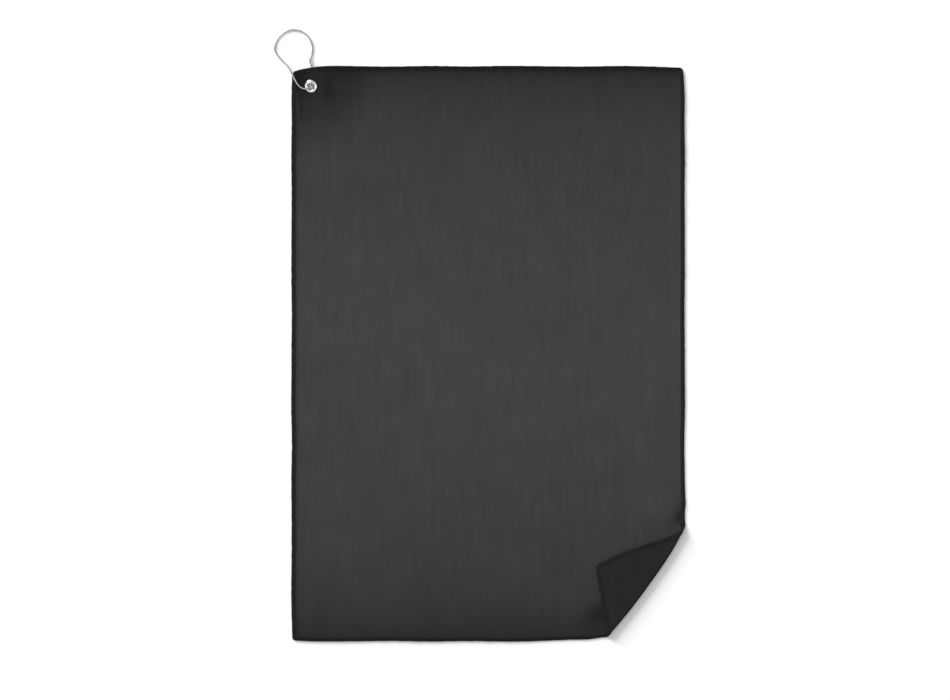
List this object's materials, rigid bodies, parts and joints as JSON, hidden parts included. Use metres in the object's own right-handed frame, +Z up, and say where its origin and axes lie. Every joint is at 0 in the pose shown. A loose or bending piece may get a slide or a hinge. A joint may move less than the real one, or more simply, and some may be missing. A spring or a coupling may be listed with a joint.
{
  "type": "golf towel",
  "caption": "Rectangular microfibre golf towel laid flat with one corner turned over, and a pear-shaped wire hook through a grommet in the opposite corner.",
  "frame": {"origin": "middle of the towel's flat underside, on the surface it lies on", "axes": "+Z up from that surface, +Y along the towel's length towards the grommet's end, +X across its width, away from the grommet's side"},
  "size_m": [0.4179, 0.6229, 0.0071],
  "materials": {
    "microfibre": "matt dark grey knitted microfibre with a fine lattice face",
    "overlock_thread": "matt black overlock thread",
    "grommet_metal": "polished nickel plate",
    "hook_steel": "bright drawn spring wire"
  },
  "bodies": {
    "towel": {"towel_panel": "microfibre", "grommet_corner": "microfibre", "fold_lower": "microfibre", "edge_top": "overlock_thread", "edge_right": "overlock_thread", "edge_bottom": "overlock_thread", "edge_left": "overlock_thread", "edge_grommet_corner": "overlock_thread", "edge_fold_lower": "overlock_thread", "grommet_eyelet": "grommet_metal", "grommet_washer": "grommet_metal"},
    "fold_ridge": {"fold_ridge": "microfibre", "edge_fold_ridge": "overlock_thread", "fold_upper": "microfibre", "edge_fold_upper": "overlock_thread"},
    "turned_corner": {"turned_corner": "microfibre", "edge_turned_corner": "overlock_thread"},
    "hook": {"hook_wire": "hook_steel"},
    "hook_gate": {"hook_gate": "hook_steel"}
  },
  "joints": [
    {"name": "fold_roll", "type": "hinge", "parent": "towel", "child": "fold_ridge", "pos_m": [0.21866, -0.15597, 0.00108], "axis": [0.5807, 0.8141, 0], "range_deg": [0, 92.1], "deforming": ["fold_lower", "edge_fold_lower"]},
    {"name": "corner_unfold", "type": "hinge", "parent": "fold_ridge", "child": "turned_corner", "pos_m": [0.21852, -0.15587, 0.0059], "axis": [0.5807, 0.8141, 0], "range_deg": [0, 92.1], "deforming": ["fold_upper", "edge_fold_upper"]},
    {"name": "hook_swivel", "type": "hinge", "parent": "towel", "child": "hook", "pos_m": [-0.18, 0.2719, 0.003], "axis": [0, 0, 1], "range_deg": [-20, 8]},
    {"name": "gate_open", "type": "hinge", "parent": "hook", "child": "hook_gate", "pos_m": [-0.19881, 0.32947, 0.0009], "axis": [0, 0, 1], "range_deg": [-12, 0], "stiffness_Nm_per_rad": 0.2}
  ],
  "couplings": [
    {"joint": "fold_roll", "follows": "corner_unfold", "ratio": 1}
  ]
}
